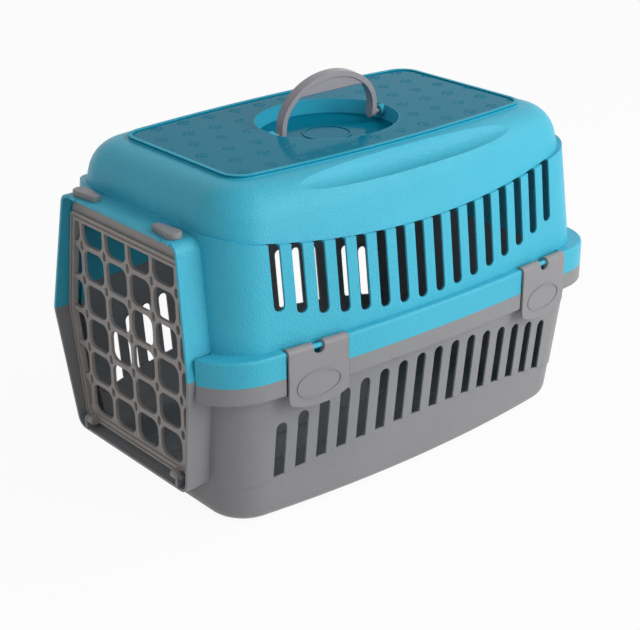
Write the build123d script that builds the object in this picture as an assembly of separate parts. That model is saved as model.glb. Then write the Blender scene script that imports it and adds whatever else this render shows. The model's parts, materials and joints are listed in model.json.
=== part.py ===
from build123d import *
import math
import os

# Pet carrier, millimetres. The door faces -X, +Z is up, and the origin is at the middle
# of the footprint, on the surface that the carrier stands on.

# overall sizes
length = 496.0
height_to_panel = 324.5
parting_z = 160.0
wall = 2.0
cabin_mid_x = 7.6
front_x = -length / 2
rear_x = length / 2

# cabin walls, outside
side_half = 154.5
side_bow = 13.0
bow_reach = length / 2 - 58.0
side_draft = 0.114
front_wall_x = front_x + 26.6
rear_wall_x = rear_x - 14.0
end_draft = 0.055
corner_radius = 42.0
base_edge_radius = 18.0

# shoulders and panel of the top shell
shoulder_start = height_to_panel - 76.5
shoulder_top = height_to_panel - 3.2
shoulder_side_in = 16.0
shoulder_front_in = 8.0
shoulder_rear_in = 4.0
shoulder_corner = 52.0
shoulder_radius = 36.0
panel_half = side_half - 56.0
panel_bow = 12.0
panel_front_x = front_x + 73.0
panel_rear_x = rear_x - 57.0
panel_corner = 22.0
bead_height = 1.2
bead_width = 3.6

# long scoops in the side shoulders
scoop_length = length - 213.0
scoop_depth = 6.5
scoop_tube = 18.0
scoop_x = 5.0
scoop_angle = 56.0

# flange along the parting line: the upper skirt laps over the wall joint
flange_half = side_half + 6.9
flange_bow = 9.9
flange_front_x = front_x + 4.5
flange_front_corner = 58.0
flange_rear_corner = 50.0
flange_joint_z = parting_z - 3.5
flange_up = 24.5
flange_down = 18.0
flange_wall = 2.6
flange_round = 3.0
flange_cheek = 2.4

# slots in the long sides
slot_count = 16
slot_pitch = 22.8
slot_width = 11.4
slot_mid_x = 3.5
slot_panel_proud = 1.2
seam = slot_panel_proud + 0.2
crease_top_mid = height_to_panel - 64.6
crease_top_rise = 14.4
slot_top_low_mid = parting_z + 27.5
slot_top_low_rise = 26.8
slot_base_high_mid = parting_z - 29.8
slot_base_high_drop = 24.6
crease_base_mid = 62.8
crease_base_drop = 15.0
arc_reach = length / 2 - 77.0

# front rim, a hexagonal frame round the doorway
rim_top_z = height_to_panel - 43.9
rim_bottom_z = 37.6
rim_half_top = 91.0
rim_half_mid = 110.3
rim_half_bottom = 90.0
rim_front_slope = 0.056
rim_corner = 11.0
rim_knee = 26.0
rim_wall = 2.8
rim_depth_in = 20.0
door_ledge = 6.0

# door: a grille inside a beaded frame, with a lower strip along the top
door_front_x = front_x + 14.0
door_frame_depth = 5.4
door_plate = 3.2
door_plate_back = 1.6
door_flange_depth = 9.0
door_flange_wall = 2.2
door_side_gap = 1.4
door_top_z = rim_top_z - 9.6
door_strip_z = door_top_z - 9.0
door_strip_back = 2.6
door_bottom_z = rim_bottom_z + 9.4
door_frame = 8.0
door_channel = 2.4
door_channel_depth = 1.2
door_channel_in = 2.6
hole_pitch_y = 38.0
hole_pitch_z = 34.8
cell_count = 6
bar_width = 4.8
cell_corner = 9.0
eye_width = 4.8
eye_height = 9.0

# door hinge at the bottom corners
hinge_x = front_x + 9.5
hinge_z = rim_bottom_z + 12.4
hinge_round = 4.0
hinge_pin_radius = 2.4
lug_y = (66.0, 74.0)
ear_thickness = 3.4
pin_end_gap = 1.4
running_gap = 0.1
face_gap = 0.4

# turn latches on the shelf over the doorway
turn_y = 73.0
turn_x = front_x + 17.5
turn_thickness = 5.4
turn_round = 7.8
turn_tip_half = 4.0
turn_length = 27.0
turn_lift = 0.3
turn_shaft_radius = 3.0
turn_collar_radius = 4.2
turn_collar = 1.6
turn_finger = (5.0, 4.2)
turn_finger_gap = 0.7

# side latches, each hooked over a rod of the top shell
latch_from_mid = length / 2 - 101.5
latch_width = 65.0
latch_side_gap = 1.6
latch_angle = 4.5
rod_radius = 2.4
rod_in = 3.2
rod_z = parting_z + 18.0
latch_plate = 2.4
latch_bottom_z = parting_z - 37.5
latch_corner = 7.0
latch_sag = 7.0
latch_notch = 12.0
latch_notch_drop = 4.5
latch_hook = 2.4
latch_hook_reach = 8.4
latch_ridge = (49.0, 27.0)
latch_ridge_width = 1.6
latch_ridge_height = 0.8
latch_ridge_z = parting_z - 16.5
catch_width = 52.0
catch_in = 4.5
catch_z = parting_z - 21.0
catch_height = 6.0

# handle and its recess
recess_x = 5.3
recess_half_x = 72.9
recess_half_y = 66.0
recess_depth = 16.5
recess_taper = 6.0
ring_outer = 24.5
ring_inner = 22.3
ring_height = 0.8
handle_half = 60.0
handle_apex_z = height_to_panel + 47.0
handle_leg_z = height_to_panel + 1.0
handle_width = 9.6
handle_thick = 5.4
handle_lean = 6.0
grip_width = 7.6
grip_inside_z = height_to_panel + 27.5
grip_corner = 20.0
grip_round = 2.0
pivot_above_floor = 10.0
pivot_radius = 2.8
pivot_slot = 5.0

# floor ribs inside the base
floor_rib_count = 5
floor_rib_pitch = 40.0
floor_rib_height = 1.6
floor_rib_width = 5.0

recess_floor_z = height_to_panel - recess_depth
pivot_z = recess_floor_z + pivot_above_floor
latch_round = rod_radius + running_gap + latch_plate
latch_span = latch_width + 2 * latch_side_gap


def outline(z, x_front, x_rear, half, bow, corner, front_corner=None):
    """Rounded rectangle at height z whose long sides bow out to half at the cabin's middle."""
    front_end = half - bow * ((x_front - cabin_mid_x) / bow_reach) ** 2
    rear_end = half - bow * ((x_rear - cabin_mid_x) / bow_reach) ** 2
    near = ThreePointArc((x_front, -front_end), (cabin_mid_x, -half), (x_rear, -rear_end))
    far = ThreePointArc((x_rear, rear_end), (cabin_mid_x, half), (x_front, front_end))
    rear = Line((x_rear, -rear_end), (x_rear, rear_end))
    front = Line((x_front, front_end), (x_front, -front_end))
    sketch = make_face([near, rear, far, front])
    rear_points = sketch.vertices().filter_by(lambda v: v.X > cabin_mid_x)
    sketch = fillet(rear_points, corner)
    front_points = sketch.vertices().sort_by(Axis.X)[0:2]
    sketch = fillet(front_points, front_corner or corner)
    return Pos(0, 0, z) * sketch


def cabin_section(z, grow=0.0):
    """Outline of the cabin walls at height z, grown outwards by grow."""
    away = abs(z - parting_z)
    return outline(
        z,
        front_wall_x + end_draft * away - grow,
        rear_wall_x - end_draft * away + grow,
        side_half - side_draft * away + grow,
        side_bow,
        corner_radius + grow,
    )


def straight_loft(low, high):
    return loft([low.face(), high.face()], ruled=True)


def upper_body(foot_z, grow=0.0):
    """Upper cabin from foot_z: leaning walls closed by a large rounded shoulder."""
    away = shoulder_start - parting_z
    half = side_half - side_draft * away + grow
    low = cabin_section(foot_z, grow)
    middle = cabin_section(shoulder_start, grow)
    high = outline(
        shoulder_top + grow,
        front_wall_x + end_draft * away + shoulder_front_in - grow,
        rear_wall_x - end_draft * away - shoulder_rear_in + grow,
        half - shoulder_side_in,
        side_bow,
        shoulder_corner + grow,
    )
    body = loft([low.face(), middle.face(), high.face()], ruled=True)
    return fillet(body.faces().sort_by(Axis.Z)[-1].edges(), shoulder_radius + grow)


def arc_region(mid_z, end_z, far_z):
    """Area of the XZ plane between an arc over the slots and the level far_z."""
    reach = arc_reach * 1.6
    steep = (end_z - mid_z) * 1.6 ** 2
    front_end = (slot_mid_x - reach, mid_z + steep)
    rear_end = (slot_mid_x + reach, mid_z + steep)
    arc = ThreePointArc(front_end, (slot_mid_x, mid_z), rear_end)
    rest = Polyline(
        (slot_mid_x + reach, mid_z + steep),
        (slot_mid_x + reach, far_z),
        (slot_mid_x - reach, far_z),
        (slot_mid_x - reach, mid_z + steep),
    )
    return make_face([arc, rest])


def through_y(sketch, depth=200.0):
    """Extrudes an XZ sketch, drawn with Z as its second axis, through the whole width."""
    return extrude(Plane.XZ * sketch, depth, both=True)


def arc_height(mid_z, rise, x):
    return mid_z + rise * ((x - slot_mid_x) / arc_reach) ** 2


def slot_cutter(flat_mid, flat_rise, round_mid, round_rise):
    """Upright slots with one round end; the other end follows the crease arc."""
    sketch = Sketch()
    for i in range(slot_count):
        x = slot_mid_x + (i - (slot_count - 1) / 2) * slot_pitch
        flat_z = arc_height(flat_mid, flat_rise, x)
        round_z = arc_height(round_mid, round_rise, x)
        toward = 1 if flat_z > round_z else -1
        centre_z = round_z + toward * slot_width / 2
        far_z = flat_z + toward * slot_width
        sketch += Pos(x, (centre_z + far_z) / 2) * Rectangle(slot_width, abs(far_z - centre_z))
        sketch += Pos(x, centre_z) * Circle(slot_width / 2)
    toward = 1 if flat_mid > round_mid else -1
    return sketch - arc_region(flat_mid, flat_mid + flat_rise, flat_mid + toward * 150)


def hexagon(inset, x, depth, top=None, bottom=None):
    """Six-sided prism along +X from x: the rim's outline moved in by inset, between two levels."""
    top = top or rim_top_z - inset
    bottom = bottom or rim_bottom_z + inset
    slope_up = (rim_half_mid - rim_half_top) / (rim_top_z - parting_z)
    slope_down = (rim_half_mid - rim_half_bottom) / (parting_z - rim_bottom_z)
    mid = rim_half_mid - inset
    top_half = mid - slope_up * (top - parting_z)
    bottom_half = mid - slope_down * (parting_z - bottom)
    points = [
        (top_half, top), (-top_half, top), (-mid, parting_z),
        (-bottom_half, bottom), (bottom_half, bottom), (mid, parting_z),
    ]
    sketch = make_face(Polyline(*points, close=True))
    sketch = fillet(sketch.vertices().filter_by(lambda v: abs(v.Y - parting_z) < 1), rim_knee)
    corners = sketch.vertices().filter_by(lambda v: abs(v.Y - parting_z) > 40)
    sketch = fillet(corners, max(rim_corner - inset, 3.0))
    return Pos(x, 0, 0) * extrude(Plane.YZ * sketch, depth)


def rim_front_cut():
    """What lies in front of the rim: its face leans back above and below the parting line."""
    lean = rim_front_slope * 200
    points = [
        (front_x - 60, parting_z - 200), (front_x + lean, parting_z - 200), (front_x, parting_z),
        (front_x + lean, parting_z + 200), (front_x - 60, parting_z + 200),
    ]
    return through_y(make_face(Polyline(*points, close=True)))


def half_space(z_from, z_to):
    return Pos(0, 0, (z_from + z_to) / 2) * Box(700, 500, abs(z_to - z_from))


def rim(z_from, z_to):
    """The part of the front frame between two heights, open through the doorway."""
    ring = hexagon(0, front_x - 10, -front_x + 10 + front_wall_x + rim_depth_in)
    ring -= hexagon(rim_wall, front_x - 20, 400)
    ring -= rim_front_cut()
    return ring & half_space(z_from, z_to)


def latch_places():
    """Place of each side latch: its own origin lies on the flange's outer face, facing -Y."""
    places = {}
    for name, side in (("front", -1), ("rear", 1)):
        x = cabin_mid_x + side * latch_from_mid
        edge = flange_half - flange_bow * (latch_from_mid / bow_reach) ** 2
        places[name + "_near"] = Location((x, -edge, 0), (0, 0, side * latch_angle))
        places[name + "_far"] = Location((x, edge, 0), (0, 0, 180 - side * latch_angle))
    return places


def flange_section(z, inset=0.0):
    return outline(
        z, flange_front_x + inset, rear_x - inset, flange_half - inset, flange_bow,
        flange_rear_corner - inset, flange_front_corner - inset,
    )


def flange(up):
    """L-section flange, a shelf out from the wall and a skirt, broken at the latches by closed ends."""
    low = flange_joint_z if up else flange_joint_z - flange_down
    high = flange_joint_z + flange_up if up else flange_joint_z
    outer = extrude(flange_section(low), high - low)
    outer = fillet(outer.faces().sort_by(Axis.Z)[-1 if up else 0].edges(), flange_round)
    hollow = extrude(flange_section(low, flange_wall), high - low)
    hollow = hollow & half_space(low - 1, high - flange_wall)
    band = outer - hollow
    middle_z = (low + high) / 2
    for place in latch_places().values():
        cheeks = place * Pos(0, 9, middle_z) * Box(latch_span + 2 * flange_cheek, 24, high - low)
        band += outer & cheeks
        band -= place * Pos(0, 9, middle_z) * Box(latch_span, 40, high - low + 2)
    front_gap = rim_half_mid + face_gap
    band -= Pos(front_wall_x - 50, 0, parting_z) * Box(100, 2 * front_gap, 100)
    return band


def scoop_cutter(extra=0.0):
    """Ring-shaped cutter whose tube grazes the shoulder: deep in the middle, nothing at the ends."""
    half_chord = scoop_length / 2
    major = (half_chord ** 2 + scoop_depth ** 2) / (2 * scoop_depth)
    tube = scoop_tube + extra
    lean = math.radians(scoop_angle)
    touch_y = side_half - side_draft * (shoulder_start - parting_z) - shoulder_side_in - 11
    touch_z = shoulder_top - 8
    centre = major + scoop_tube - scoop_depth
    cutters = []
    for side in (-1, 1):
        y = side * (touch_y + centre * math.cos(lean))
        z = touch_z + centre * math.sin(lean)
        cutters.append(Pos(scoop_x, y, z) * Rot(side * scoop_angle, 0, 0) * Torus(major, tube))
    return cutters


def recess(grow=0.0, extra_depth=0.0):
    """Oval dish for the handle in the middle of the panel."""
    depth = recess_depth + extra_depth
    top = Pos(recess_x, 0, height_to_panel + 1) * Ellipse(recess_half_x + grow, recess_half_y + grow)
    slope = math.tan(math.radians(recess_taper)) * (depth + 1)
    low = Pos(recess_x, 0, height_to_panel - depth) * Ellipse(
        recess_half_x + grow - slope, recess_half_y + grow - slope
    )
    return loft([low.face(), top.face()], ruled=True)


def hinge_ears():
    """Upright ears on the sill that hold the door's pins, each with a gusset behind."""
    sill = rim_bottom_z + rim_wall / 2
    sketch = Pos(hinge_x, (hinge_z + sill) / 2) * Rectangle(2 * hinge_round, hinge_z - sill)
    sketch += Pos(hinge_x, hinge_z) * Circle(hinge_round)
    sketch -= Pos(hinge_x, hinge_z) * Circle(hinge_pin_radius + running_gap)
    ears = []
    for side in (-1, 1):
        y = side * (lug_y[1] + face_gap + ear_thickness / 2)
        ears.append(Pos(0, y, 0) * extrude(Plane.XZ * sketch, ear_thickness / 2, both=True))
    return ears


def make_top_shell():
    low_body = straight_loft(
        cabin_section(parting_z, slot_panel_proud),
        cabin_section(shoulder_start + 50, slot_panel_proud),
    )
    above = through_y(arc_region(crease_top_mid, crease_top_mid + crease_top_rise, crease_top_mid + 120))
    outer = (low_body - above) + upper_body(parting_z)

    pad_base = shoulder_top - 2
    pad_top = height_to_panel - bead_height
    pad = outline(pad_base, panel_front_x, panel_rear_x, panel_half, panel_bow, panel_corner)
    field = outline(pad_base, panel_front_x + bead_width, panel_rear_x - bead_width,
                    panel_half - bead_width, panel_bow, panel_corner - bead_width)
    outer = outer + extrude(pad, pad_top - pad_base)
    outer += Pos(0, 0, pad_top - pad_base) * extrude(pad - field, bead_height)
    outer = outer - scoop_cutter()

    inner = upper_body(parting_z - 1, -wall)
    low_hollow = straight_loft(
        cabin_section(parting_z - 1, slot_panel_proud - wall),
        cabin_section(shoulder_start + 50, slot_panel_proud - wall),
    )
    step_z = crease_top_mid - wall
    inner += low_hollow - through_y(arc_region(step_z, step_z + crease_top_rise, step_z + 120))
    inner = inner - scoop_cutter(wall)
    inner -= recess(wall, wall)

    shell = outer - recess() - inner
    shell += rim(parting_z, rim_top_z + 5) - inner
    base_walls = straight_loft(cabin_section(flange_joint_z - 1, seam), cabin_section(parting_z, seam))
    shell += flange(True) - outer - base_walls
    shell -= hexagon(rim_wall + door_ledge, front_wall_x - 10, 60)
    shell -= through_y(slot_cutter(crease_top_mid, crease_top_rise, slot_top_low_mid, slot_top_low_rise))

    ring = Pos(recess_x, 0, recess_floor_z) * (Circle(ring_outer) - Circle(ring_inner))
    shell += extrude(ring, ring_height)

    for place in latch_places().values():
        rod = Pos(0, rod_in, rod_z) * Rot(0, 90, 0) * Cylinder(rod_radius, latch_span + flange_cheek)
        shell += place * rod
    for side in (-1, 1):
        shell -= Pos(turn_x, side * turn_y, rim_top_z) * Cylinder(turn_shaft_radius + running_gap, 20)
    pivot_hole = Pos(0, pivot_z) * Circle(pivot_radius + running_gap)
    way_in = Rectangle(2 * (pivot_radius + running_gap), pivot_slot)
    pivot_hole += Pos(0, pivot_z + pivot_slot / 2) * way_in
    for side in (-1, 1):
        x = recess_x + side * (recess_half_x + 2)
        shell -= Pos(x, 0, 0) * extrude(Plane.YZ * pivot_hole, 8, both=True)
    return shell


def make_bottom_shell():
    main = straight_loft(cabin_section(0), cabin_section(parting_z))
    main = fillet(main.faces().sort_by(Axis.Z)[0].edges(), base_edge_radius)
    proud = straight_loft(
        cabin_section(base_edge_radius, slot_panel_proud),
        cabin_section(parting_z, slot_panel_proud),
    )
    crease_end = crease_base_mid - crease_base_drop
    below = through_y(arc_region(crease_base_mid, crease_end, crease_base_mid - 120))
    outer = main + (proud - below)
    for place in latch_places().values():
        catch = Box(catch_width, 20, catch_height)
        outer += place * Pos(0, catch_in + 10, catch_z + catch_height / 2) * catch
    inner = straight_loft(cabin_section(wall, -wall), cabin_section(parting_z + 1, -wall))
    inner = fillet(inner.faces().sort_by(Axis.Z)[0].edges(), base_edge_radius - wall)
    proud_hollow = straight_loft(
        cabin_section(base_edge_radius + wall, slot_panel_proud - wall),
        cabin_section(parting_z + 1, slot_panel_proud - wall),
    )
    step_z = crease_base_mid + wall
    inner += proud_hollow - through_y(arc_region(step_z, step_z - crease_base_drop, step_z - 120))

    shell = outer - inner
    shell += rim(rim_bottom_z - 5, parting_z) - inner
    shell += flange(False) - outer
    shell -= hexagon(rim_wall + door_ledge, front_wall_x - 10, 60)
    shell -= through_y(
        slot_cutter(crease_base_mid, -crease_base_drop, slot_base_high_mid, -slot_base_high_drop)
    )
    for ear in hinge_ears():
        shell += ear
    rib_length = rear_wall_x - front_wall_x - 2 * corner_radius
    for i in range(floor_rib_count):
        y = (i - (floor_rib_count - 1) / 2) * floor_rib_pitch
        rib_z = wall + floor_rib_height / 2 - 0.5
        rib = Box(rib_length, floor_rib_width, floor_rib_height + 1)
        shell += Pos((rear_wall_x + front_wall_x) / 2, y, rib_z) * rib
    return shell


def door_area(inset, top=door_top_z, bottom=door_bottom_z):
    """Flat outline of the door in the YZ plane, moved in by inset."""
    prism = hexagon(rim_wall + door_side_gap + inset, 0, 1, top - inset, bottom + inset)
    return prism.faces().sort_by(Axis.X)[0]


def door_prism(face, x, depth):
    return Pos(x, 0, 0) * extrude(face, depth, dir=(1, 0, 0))


def make_door():
    whole = door_area(0)
    field = door_area(0, door_strip_z)
    frame_in = door_area(door_frame, door_strip_z)
    strip_x = door_front_x + door_strip_back
    plate_x = door_front_x + door_plate_back
    door = door_prism(field, door_front_x, door_frame_depth)
    door += door_prism(whole, strip_x, door_frame_depth - door_strip_back)
    door -= door_prism(frame_in, door_front_x - 1, door_frame_depth + 2)

    channel_out = door_area(door_channel_in, door_strip_z)
    channel_in = door_area(door_channel_in + door_channel, door_strip_z)
    channel = door_prism(channel_out, door_front_x - 1, 1 + door_channel_depth)
    channel -= door_prism(channel_in, door_front_x - 2, 3 + door_channel_depth)
    door -= channel

    skirt = door_prism(whole, door_front_x + door_frame_depth, door_flange_depth - door_frame_depth)
    skirt -= door_prism(door_area(door_flange_wall), door_front_x, 20)
    door += skirt

    cells = Sketch()
    first = -(cell_count - 1) / 2
    for i in range(cell_count):
        for j in range(cell_count):
            y = (first + i) * hole_pitch_y
            z = parting_z + (first + j) * hole_pitch_z
            cell = RectangleRounded(hole_pitch_y - bar_width, hole_pitch_z - bar_width, cell_corner)
            cells += Pos(y, z) * cell
    for i in range(cell_count - 1):
        for j in range(cell_count - 1):
            y = (first + 0.5 + i) * hole_pitch_y
            z = parting_z + (first + 0.5 + j) * hole_pitch_z
            cells += Pos(y, z) * SlotOverall(eye_height, eye_width, rotation=90)
    lattice = door_prism(frame_in, plate_x, door_plate)
    lattice -= Pos(plate_x - 1, 0, 0) * extrude(Plane.YZ * cells, 10)
    door += lattice

    for side in (-1, 1):
        middle = side * (lug_y[0] + lug_y[1]) / 2
        lug = Pos(hinge_x, hinge_z) * Circle(hinge_round)
        reach = Rectangle(door_front_x - hinge_x + 2, 2 * hinge_round)
        lug += Pos((hinge_x + door_front_x) / 2 + 1, hinge_z) * reach
        half = (lug_y[1] - lug_y[0]) / 2
        door += Pos(0, middle, 0) * extrude(Plane.XZ * lug, half, both=True)
        pin_length = face_gap + ear_thickness + pin_end_gap
        pin_y = side * (lug_y[1] + pin_length / 2)
        door += Pos(hinge_x, pin_y, hinge_z) * Rot(90, 0, 0) * Cylinder(hinge_pin_radius, pin_length)
    return door


def make_turn_latch(side):
    """Teardrop lever, its shaft through the shelf, and the finger that hangs over the door's top edge."""
    lever_z = rim_top_z + turn_lift
    outline_face = Circle(turn_round)
    root_half = turn_round * 0.98
    root_y = turn_round * 0.15
    outline_face += make_face(Polyline(
        (-root_half, root_y), (-turn_tip_half, turn_length),
        (turn_tip_half, turn_length), (root_half, root_y), close=True,
    ))
    lever = extrude(outline_face, turn_thickness)
    lever = fillet(lever.faces().sort_by(Axis.Z)[-1].edges(), 1.5)
    lever = Pos(0, 0, lever_z) * lever
    under = rim_top_z - rim_wall - turn_lift
    bottom = door_top_z + turn_finger_gap
    shaft = Pos(0, 0, (lever_z + under) / 2) * Cylinder(turn_shaft_radius, lever_z - under)
    collar = Pos(0, 0, under - turn_collar / 2) * Cylinder(turn_collar_radius, turn_collar)
    finger = Pos(0, 0, (under + bottom) / 2) * Box(turn_finger[0], turn_finger[1], under - bottom)
    latch = lever + shaft + collar + finger
    if side > 0:
        latch = Rot(0, 0, 180) * latch
    return Pos(turn_x, side * turn_y, 0) * latch


def make_side_latch():
    """Plate with a curl over the rod and a hook that turns under the catch, in the latch's own place."""
    plate_y = rod_in - latch_round
    profile = Pos(plate_y + latch_plate / 2, (latch_bottom_z + rod_z) / 2) * Rectangle(
        latch_plate, rod_z - latch_bottom_z)
    centre = Pos(rod_in, rod_z)
    curl = centre * Circle(latch_round) - centre * Circle(rod_radius + running_gap)
    curl -= Pos(rod_in + 10, rod_z - 10) * Rectangle(20, 20)
    catch_reach = math.hypot(max(abs(catch_in - rod_in), latch_hook_reach - rod_in), rod_z - catch_z)
    hook_in = catch_reach + face_gap
    hook = centre * Circle(hook_in + latch_hook) - centre * Circle(hook_in)
    hook_area = Rectangle(latch_hook_reach - plate_y, 20)
    hook &= Pos((plate_y + latch_hook_reach) / 2, catch_z - 10) * hook_area
    body = extrude(Plane.YZ * (profile + curl + hook), latch_width / 2, both=True)

    top_z = rod_z + latch_round
    half = latch_width / 2
    corner_z = latch_bottom_z + latch_sag
    lower = ThreePointArc((-half, corner_z), (0, latch_bottom_z), (half, corner_z))
    upper = Polyline((half, corner_z), (half, top_z), (-half, top_z), (-half, corner_z))
    face = make_face([lower, upper])
    face = fillet(face.vertices().sort_by(Axis.Y)[0:2], latch_corner)
    face -= Pos(0, top_z - latch_notch_drop / 2) * Rectangle(latch_notch, latch_notch_drop)
    face -= Pos(0, top_z - latch_notch_drop) * Circle(latch_notch / 2)
    body = body & extrude(Plane.XZ * face, 40, both=True)

    ridge_x, ridge_z = latch_ridge[0] / 2, latch_ridge[1] / 2
    ridge = Ellipse(ridge_x, ridge_z) - Ellipse(ridge_x - latch_ridge_width, ridge_z - latch_ridge_width)
    ridge = extrude(Plane.XZ * (Pos(0, latch_ridge_z) * ridge), latch_ridge_height + 0.5)
    return body + Pos(0, plate_y + 0.5, 0) * ridge


def arch_area(inset):
    """Half oval over two straight legs, inset from the handle's outer line."""
    half = handle_half - inset
    leg = handle_leg_z - pivot_z
    area = Pos(recess_x, handle_leg_z) * Ellipse(half, handle_apex_z - handle_leg_z - inset)
    area &= Pos(recess_x, handle_leg_z + 50) * Rectangle(400, 100)
    return area + Pos(recess_x, pivot_z + leg / 2) * Rectangle(2 * half, leg)


def make_handle():
    """Arch with a raised rim, a deeper grip inside its top and round feet on pivot pins."""
    strap = extrude(Plane.XZ * (arch_area(0) - arch_area(handle_thick)), handle_width / 2, both=True)
    opening = Rectangle(2 * (handle_half - handle_thick), 2 * (grip_inside_z - pivot_z))
    window = Pos(recess_x, pivot_z) * opening
    window = fillet(window.vertices(), grip_corner)
    grip = extrude(Plane.XZ * (arch_area(handle_thick - 1) - window), grip_width / 2, both=True)
    lower_edges = grip.edges().filter_by(Axis.X)
    lower_edges = lower_edges.filter_by(lambda e: abs(e.center().Z - grip_inside_z) < 0.1)
    strap += fillet(lower_edges, grip_round)
    pin_reach = recess_half_x + wall - 0.6
    for side in (-1, 1):
        x = recess_x + side * (handle_half - handle_thick / 2)
        strap += Pos(x, 0, pivot_z) * Rot(0, 90, 0) * Cylinder(handle_width / 2, handle_thick)
        middle = recess_x + side * (handle_half - 1 + pin_reach) / 2
        pin = Cylinder(pivot_radius, pin_reach - handle_half + 1)
        strap += Pos(middle, 0, pivot_z) * Rot(0, 90, 0) * pin
    return Pos(0, 0, pivot_z) * Rot(handle_lean, 0, 0) * Pos(0, 0, -pivot_z) * strap


def main():
    os.makedirs("parts", exist_ok=True)
    nodes = {
        "bottom_shell": make_bottom_shell(),
        "top_shell": make_top_shell(),
        "door": make_door(),
        "turn_latch_near": make_turn_latch(-1),
        "turn_latch_far": make_turn_latch(1),
        "carry_handle": make_handle(),
    }
    latch = make_side_latch()
    for name, place in latch_places().items():
        nodes["side_latch_" + name] = place * latch
    for name, shape in nodes.items():
        print(name, len(shape.solids()), round(shape.volume), shape.bounding_box())
        export_step(shape, "parts/" + name + ".step")


main()
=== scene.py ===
import bpy
import json
import math
from mathutils import Matrix, Vector


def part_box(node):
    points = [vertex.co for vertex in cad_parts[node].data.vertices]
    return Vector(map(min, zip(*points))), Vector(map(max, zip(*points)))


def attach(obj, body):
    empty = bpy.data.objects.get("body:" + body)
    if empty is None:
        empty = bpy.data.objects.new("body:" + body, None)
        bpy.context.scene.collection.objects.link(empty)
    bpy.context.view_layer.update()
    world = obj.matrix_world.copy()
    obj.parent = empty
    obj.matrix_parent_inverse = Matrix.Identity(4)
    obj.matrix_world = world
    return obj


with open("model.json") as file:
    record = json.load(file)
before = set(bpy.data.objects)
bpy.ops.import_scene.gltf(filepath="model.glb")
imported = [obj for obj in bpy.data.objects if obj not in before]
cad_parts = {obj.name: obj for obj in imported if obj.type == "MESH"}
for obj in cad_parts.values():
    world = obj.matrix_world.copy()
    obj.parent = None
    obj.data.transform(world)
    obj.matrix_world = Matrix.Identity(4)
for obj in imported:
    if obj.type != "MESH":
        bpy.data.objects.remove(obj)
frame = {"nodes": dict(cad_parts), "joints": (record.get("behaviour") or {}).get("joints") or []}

nodes = frame["nodes"]
scene = bpy.context.scene
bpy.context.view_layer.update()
print("frame loaded with", len(nodes), "nodes")

# camera, as the photograph was taken

cameraSetup = {
    "azimuth": -40.18,
    "elevation": 23.96,
    "roll": -0.42,
    "distance": 1.5232,
    "aim": (0.0076, 0.0, 0.182),
    "across": -0.0095,                # how far the aim moves to the camera's right
    "upwards": -0.0624,
    "lens": 85.05,
}


def makeCamera(setup):
    azimuth = math.radians(setup["azimuth"])
    elevation = math.radians(setup["elevation"])
    back = Vector((
        math.sin(azimuth) * math.cos(elevation),
        -math.cos(azimuth) * math.cos(elevation),
        math.sin(elevation),
    ))
    right = Vector((0, 0, 1)).cross(back).normalized()
    turn = Matrix.Rotation(math.radians(setup["roll"]), 3, back)
    right = turn @ right
    up = back.cross(right)
    aim = Vector(setup["aim"]) + right * setup["across"] + up * setup["upwards"]
    bpy.ops.object.camera_add(location=aim + back * setup["distance"])
    camera = bpy.context.object
    camera.rotation_euler = Matrix((right, up, back)).transposed().to_euler()
    camera.data.lens = setup["lens"]
    scene.camera = camera


makeCamera(cameraSetup)
print("camera placed")


# materials: sockets that take part in arithmetic, and a maker for every other node

class Signal:
    def __init__(self, finish, socket):
        self.finish = finish
        self.socket = socket

    def maths(self, operation, first, second, clamp=False, third=0.0):
        settings = {"operation": operation, "use_clamp": clamp}
        return self.finish.node("ShaderNodeMath", settings, {0: first, 1: second, 2: third})

    def __add__(self, other):
        return self.maths("ADD", self, other)

    def __sub__(self, other):
        return self.maths("SUBTRACT", self, other)

    def __rsub__(self, other):
        return self.maths("SUBTRACT", other, self)

    def __mul__(self, other):
        return self.maths("MULTIPLY", self, other)

    def __truediv__(self, other):
        return self.maths("DIVIDE", self, other)

    def __pow__(self, other):
        return self.maths("POWER", self, other)

    def most(self, other):
        return self.maths("MAXIMUM", self, other)

    def distance(self):
        return self.maths("ABSOLUTE", self, 0.0)

    def floor(self):
        return self.maths("FLOOR", self, 0.0)

    def tile(self):
        return self.maths("FRACT", self, 0.0) - 0.5

    def above(self, level, soft):
        # 0 below the level and 1 above it, with a soft step between
        return self.maths("MULTIPLY_ADD", self - level, 1 / soft, clamp=True, third=0.5)


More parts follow.
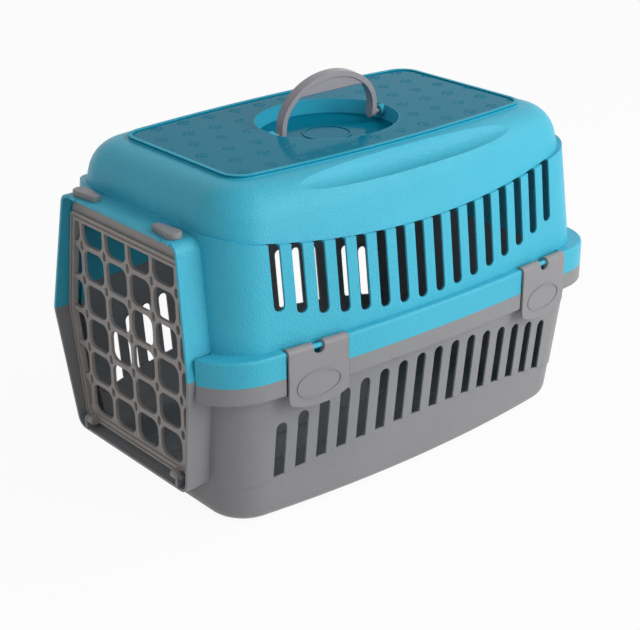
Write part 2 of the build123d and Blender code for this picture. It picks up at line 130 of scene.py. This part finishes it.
class Finish:
    def __init__(self, name):
        self.material = bpy.data.materials.new(name)
        self.material.use_nodes = True
        self.tree = self.material.node_tree
        self.shader = self.tree.nodes["Principled BSDF"]
        self.output = self.tree.nodes["Material Output"]

    def feed(self, socket, value):
        if isinstance(value, Signal):
            self.tree.links.new(value.socket, socket)
        else:
            socket.default_value = value

    def node(self, kind, settings=None, inputs=None, output=0):
        made = self.tree.nodes.new(kind)
        for name, value in (settings or {}).items():
            setattr(made, name, value)
        for name, value in (inputs or {}).items():
            self.feed(made.inputs[name], value)
        return Signal(self, made.outputs[output])

    def place(self):
        return self.node("ShaderNodeTexCoord", output="Object")

    def axes(self):
        split = self.node("ShaderNodeSeparateXYZ", inputs={0: self.place()}).socket.node
        return [Signal(self, split.outputs[i]) for i in range(3)]

    def noise(self, scale, detail=2.0, roughness=0.5):
        inputs = {"Vector": self.place(), "Scale": scale, "Detail": detail, "Roughness": roughness}
        return self.node("ShaderNodeTexNoise", {"noise_dimensions": "3D"}, inputs)

    def cells(self, scale):
        inputs = {"Vector": self.place(), "Scale": scale}
        return self.node("ShaderNodeTexVoronoi", {"feature": "SMOOTH_F1"}, inputs, "Distance")

    def pebbles(self, scale):
        # round grains, with a finer unevenness among them
        return self.cells(scale) + self.noise(scale * 0.5, 3.0) * 0.9

    def blend(self, factor, first, second):
        inputs = {0: factor, 6: first, 7: second}
        return self.node("ShaderNodeMix", {"data_type": "RGBA"}, inputs, 2)

    def bump(self, height, strength, distance, edge=0.0):
        inputs = {"Height": height, "Strength": strength, "Distance": distance}
        if edge:                       # rounds the look of sharp edges
            inputs["Normal"] = self.node("ShaderNodeBevel", {"samples": 4}, {"Radius": edge})
        return self.node("ShaderNodeBump", inputs=inputs)

    def set(self, **values):
        for name, value in values.items():
            self.feed(self.shader.inputs[name.replace("_", " ").title().replace("Ior", "IOR")], value)
        return self.material


def rgb(red, green, blue):
    # a colour as a paint program gives it, turned linear
    return tuple(((v / 255 + 0.055) / 1.055) ** 2.4 for v in (red, green, blue)) + (1.0,)


shellFinish = {
    "colour": rgb(66, 186, 213),
    "shade": rgb(56, 175, 202),
    # painted shade: a darker teal on the up-facing top panel and the dish floor, in place of the shade
    # and dull reflection these faces get; the bead keeps the skin's colour
    "panelColour": rgb(8, 132, 160),
    "grainScale": 950.0,
    "grainHeight": 0.0006,
    "roughness": 0.4,
    "grainStrength": 0.7,
    "cloudScale": 14.0,
    "cloudRoughness": 0.06,
    "panelLevel": 0.3221,
    "panelRoughness": 0.1,
    "beadLevel": 0.3239,
    "dishCentre": 0.0053,
    "dishHalf": (0.0733, 0.0664),
    "dishFloor": 0.3086,
    "dishFoot": 0.300,                # nothing below this level belongs to the dish
    "dishClear": 1.25,                # prints start this far out, 1 being the dish's edge
    "printRoughness": 0.3,
    "edge": 0.0006,
    "gloss": 0.35,                    # specular level of the pebbled skin
    "panelGloss": 0.02,
}

pawPrints = {
    "pitch": 0.031,
    "size": 0.0075,                   # reach of the print from its middle
    "height": 0.0005,
    "field": (-0.166, 0.183, 0.088),  # front, rear and half width of the printed area
    "pads": [
        # middle and half sizes of each pad, as shares of the size
        (0.0, -0.35, 0.52, 0.42),
        (-0.72, 0.22, 0.22, 0.3),
        (-0.26, 0.62, 0.22, 0.32),
        (0.26, 0.62, 0.22, 0.32),
        (0.72, 0.22, 0.22, 0.3),
    ],
}


def pawField(finish, x, y, s):
    # 1 inside the pads of each print, with the rows shifted by half a pitch
    row = (y / s["pitch"]).floor()
    across = (x / s["pitch"] + row * 0.5).tile() * s["pitch"]
    along = (y / s["pitch"]).tile() * s["pitch"]
    pads = None
    for middleX, middleY, halfX, halfY in s["pads"]:
        u = (across - middleX * s["size"]) / (halfX * s["size"])
        v = (along - middleY * s["size"]) / (halfY * s["size"])
        pad = (1.0 - (u * u + v * v)).above(0.0, 0.5)
        pads = pad if pads is None else pads.most(pad)
    front, rear, half = s["field"]
    inside = x.above(front, 0.002) * (1 - x.above(rear, 0.002)) * (1 - y.distance().above(half, 0.002))
    return pads * inside


def colouredShell(s):
    finish = Finish("turquoise shell")
    x, y, z = finish.axes()
    fromDish = ((x - s["dishCentre"]) / s["dishHalf"][0]) ** 2 + (y / s["dishHalf"][1]) ** 2
    inDish = (1 - fromDish.above(1.0, 0.02)) * z.above(s["dishFoot"], 0.004)
    onPanel = z.above(s["panelLevel"], 0.0006)
    smooth = onPanel.most(inDish)
    dishFloor = inDish * (1 - z.above(s["dishFloor"] + 0.0006, 0.0008))
    # painted shade mask: 1 on the panel below the bead outside the dish, and on the dish floor, where
    # the darker painted-shade teal goes
    panelShadeMask = (onPanel * (1 - inDish) * (1 - z.above(s["beadLevel"], 0.0003))).most(dishFloor)
    prints = pawField(finish, x, y, pawPrints) * onPanel * fromDish.above(s["dishClear"], 0.1)
    pebble = finish.pebbles(s["grainScale"])
    cloudy = finish.noise(s["cloudScale"], 3.0)
    colour = finish.blend(cloudy, s["colour"], s["shade"])
    relief = finish.bump(prints, 1.0, pawPrints["height"], s["edge"])
    grain = finish.bump(pebble, s["grainStrength"], s["grainHeight"], s["edge"])
    panel = finish.node("ShaderNodeBsdfPrincipled", inputs={
        # painted shade: the darker teal is blended in over the panel and the dish floor
        "Base Color": finish.blend(panelShadeMask, colour, s["panelColour"]),
        "Roughness": prints * s["printRoughness"] + s["panelRoughness"],
        "Specular IOR Level": s["panelGloss"],
        "Normal": relief,
    })
    skin = Signal(finish, finish.shader.outputs[0])
    finish.feed(finish.output.inputs["Surface"], finish.node(
        "ShaderNodeMixShader", inputs={0: smooth, 1: skin, 2: panel}))
    return finish.set(
        base_color=colour,
        roughness=(cloudy - 0.5) * s["cloudRoughness"] + s["roughness"],
        specular_ior_level=s["gloss"],
        normal=grain,
    )


greyFinish = {
    "colour": rgb(146, 146, 148),
    "shade": rgb(137, 137, 139),
    "grainScale": 560.0,
    "grainHeight": 0.0004,
    "roughness": 0.42,
    "grainStrength": 0.6,
    "cloudScale": 12.0,
    "cloudRoughness": 0.08,
    "floorLevel": 0.0062,
    "floorRoughness": 0.22,
    "edge": 0.0006,
    "gloss": 0.2,
}


def greyPlastic(name, s):
    finish = Finish(name)
    x, y, z = finish.axes()
    polished = 1 - z.above(s["floorLevel"], 0.002)
    pebble = finish.pebbles(s["grainScale"])
    cloudy = finish.noise(s["cloudScale"], 3.0)
    rough = s["roughness"] - polished * (s["roughness"] - s["floorRoughness"])
    return finish.set(
        base_color=finish.blend(cloudy, s["colour"], s["shade"]),
        roughness=rough + (cloudy - 0.5) * s["cloudRoughness"],
        specular_ior_level=s["gloss"],
        normal=finish.bump(
            pebble * (1 - polished), s["grainStrength"], s["grainHeight"], s["edge"]),
    )


fittingFinish = dict(greyFinish, colour=rgb(150, 148, 150), shade=rgb(142, 140, 142), grainScale=900.0,
                     grainHeight=0.00004, roughness=0.38)
handleFinish = dict(greyFinish, colour=rgb(168, 163, 168), shade=rgb(160, 155, 160), grainScale=900.0,
                    grainHeight=0.00002, roughness=0.28)

doorFinish = dict(fittingFinish, colour=rgb(166, 159, 155), shade=rgb(158, 151, 147))

nodeFinish = {
    "top_shell": colouredShell(shellFinish),
    "bottom_shell": greyPlastic("grey tray", greyFinish),
    "carry_handle": greyPlastic("silver grey handle", handleFinish),
    "door": greyPlastic("warm grey door", doorFinish),
}
fittings = greyPlastic("grey fittings", fittingFinish)
for name, node in nodes.items():
    node.data.materials.clear()
    node.data.materials.append(nodeFinish.get(name, fittings))
print("materials given")


# small moulded stops on the rim's front edge, a pair by each turn latch, below its lever

rimStops = {
    "offsets": (-0.0075, 0.0045),         # along the rim, from the latch's pivot
    "size": (0.0026, 0.0034, 0.0028),     # along X, across and up
    "bevel": 0.0007,
    "rise": 0.0001,                       # above the rim's top, less than the lever's gap
    "ahead": 0.0035,                      # from the latch's front to the stop's middle
}


def editPrimitive(name):
    made = bpy.context.object
    made.name = name
    bpy.ops.object.mode_set(mode="EDIT")
    bpy.ops.mesh.select_all(action="SELECT")
    return made


def finishPiece(piece, material, body, angle=40):
    bpy.ops.object.mode_set(mode="OBJECT")
    bpy.ops.object.shade_smooth_by_angle(angle=math.radians(angle))
    piece.data.materials.append(material)
    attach(piece, body)
    bpy.ops.object.select_all(action="DESELECT")


def makeRimStop(name, x, y, z, s):
    bpy.ops.mesh.primitive_cube_add(size=1.0, location=(0, 0, 0))
    stop = editPrimitive(name)
    bpy.ops.transform.resize(value=s["size"])
    bpy.ops.transform.translate(value=(x, y, z + s["rise"] - s["size"][2] / 2))
    bpy.ops.mesh.bevel(offset=s["bevel"], segments=3, affect="EDGES")
    finishPiece(stop, nodeFinish["top_shell"], "root")


def makeRimStops(s):
    for joint in frame["joints"]:
        if joint["name"].startswith("turn_latch"):
            latch = joint["name"].replace("_pivot", "")
            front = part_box(latch)[0].x
            side = 1 if joint["pos_m"][1] > 0 else -1
            for index, offset in enumerate(s["offsets"]):
                name = latch + "_stop_" + str(index)
                y = joint["pos_m"][1] - side * offset
                makeRimStop(name, front - s["ahead"], y, joint["pos_m"][2], s)


bpy.ops.object.select_all(action="DESELECT")
makeRimStops(rimStops)
print("rim stops made")


# round bosses in the dish, which the handle's pins run in

handleBosses = {
    "radius": 0.0056,
    "bore": 0.0032,
    "wallAt": 0.0722,                 # from the handle's middle to the dish's end wall
    "length": 0.0055,
    "sunk": 0.002,                    # how far a boss reaches into that wall
    "bevel": 0.0005,
}


def makeBoss(name, side, pivot, s):
    inner = pivot.x + side * (s["wallAt"] - s["length"])
    depth = s["length"] + s["sunk"]
    middle = inner + side * depth / 2
    bpy.ops.mesh.primitive_cylinder_add(
        vertices=40, radius=s["radius"], depth=depth, end_fill_type="NOTHING")
    boss = editPrimitive(name)
    bpy.ops.transform.rotate(value=math.pi / 2, orient_axis="Y", center_override=(0, 0, 0))
    bpy.ops.transform.translate(value=(middle, 0, pivot.z))
    bpy.ops.object.mode_set(mode="OBJECT")
    thick = boss.modifiers.new("wall", "SOLIDIFY")
    thick.thickness = s["radius"] - s["bore"]
    thick.offset = -1
    edges = boss.modifiers.new("edges", "BEVEL")
    edges.width = s["bevel"]
    edges.segments = 2
    for modifier in ("wall", "edges"):
        bpy.ops.object.modifier_apply(modifier=modifier)
    finishPiece(boss, nodeFinish["top_shell"], "root")


for joint in frame["joints"]:
    if joint["name"] == "handle_pivot":
        for end, side in (("front", -1), ("rear", 1)):
            makeBoss("handle_boss_" + end, side, Vector(joint["pos_m"]), handleBosses)
print("handle bosses made")


# floor, world and lamps

studio = {
    "floorSize": 8.0,
    "floorWhite": 0.94,               # share of plain white in the floor, as the camera sees it
    "worldLight": 0.27,
    "worldColour": (0.95, 0.97, 1.0, 1.0),
    "floorColour": (0.86, 0.86, 0.86, 1.0),
    "lampAim": (0.0, 0.0, 0.16),
    "lamps": [
        # azimuth and elevation from the carrier, distance, size, watts
        (24.0, 22.0, 2.2, 1.5, 29.0),
        (-80.0, 35.0, 2.4, 1.6, 6.0),
        (55.0, 46.0, 2.4, 0.8, 13.0),
    ],
}


def whiteRays(tree):
    # 1 for the rays that see the surroundings as plain white
    path = tree.nodes.new("ShaderNodeLightPath")
    seen = path.outputs["Is Camera Ray"]
    for other in ("Is Glossy Ray", "Is Transmission Ray"):
        either = tree.nodes.new("ShaderNodeMath")
        either.operation = "MAXIMUM"
        tree.links.new(seen, either.inputs[0])
        tree.links.new(path.outputs[other], either.inputs[1])
        seen = either.outputs[0]
    return seen


def makeFloor(s):
    bpy.ops.mesh.primitive_plane_add(size=s["floorSize"], location=(0, 0, 0))
    floor = bpy.context.object
    floor.name = "floor"
    finish = Finish("pale floor")
    seen = Signal(finish, whiteRays(finish.tree))
    shadeless = finish.node("ShaderNodeEmission", inputs={"Color": (1, 1, 1, 1), "Strength": 1.0})
    diffuse = Signal(finish, finish.shader.outputs[0])
    white = seen * s["floorWhite"]
    mixed = finish.node("ShaderNodeMixShader", inputs={0: white, 1: diffuse, 2: shadeless})
    finish.feed(finish.output.inputs["Surface"], mixed)
    finish.set(base_color=s["floorColour"], roughness=0.7)
    floor.data.materials.append(finish.material)


def makeWorld(s):
    world = bpy.data.worlds.new("studio")
    scene.world = world
    world.use_nodes = True
    tree = world.node_tree
    soft = tree.nodes["Background"]
    soft.inputs["Color"].default_value = s["worldColour"]
    soft.inputs["Strength"].default_value = s["worldLight"]
    white = tree.nodes.new("ShaderNodeBackground")
    white.inputs["Strength"].default_value = 1.0
    white.inputs["Color"].default_value = (1, 1, 1, 1)
    mix = tree.nodes.new("ShaderNodeMixShader")
    tree.links.new(whiteRays(tree), mix.inputs[0])
    tree.links.new(soft.outputs[0], mix.inputs[1])
    tree.links.new(white.outputs[0], mix.inputs[2])
    tree.links.new(mix.outputs[0], tree.nodes["World Output"].inputs["Surface"])


def makeLamp(aim, azimuth, elevation, distance, size, watts):
    a = math.radians(azimuth)
    e = math.radians(elevation)
    away = Vector((math.sin(a) * math.cos(e), -math.cos(a) * math.cos(e), math.sin(e)))
    bpy.ops.object.light_add(type="AREA", location=Vector(aim) + away * distance)
    lamp = bpy.context.object
    lamp.rotation_euler = away.to_track_quat("Z", "Y").to_euler()
    lamp.data.size = size
    lamp.data.energy = watts


bpy.ops.object.select_all(action="DESELECT")
makeFloor(studio)
makeWorld(studio)
for lamp in studio["lamps"]:
    makeLamp(studio["lampAim"], *lamp)
scene.view_settings.view_transform = "Standard"
print("studio ready")
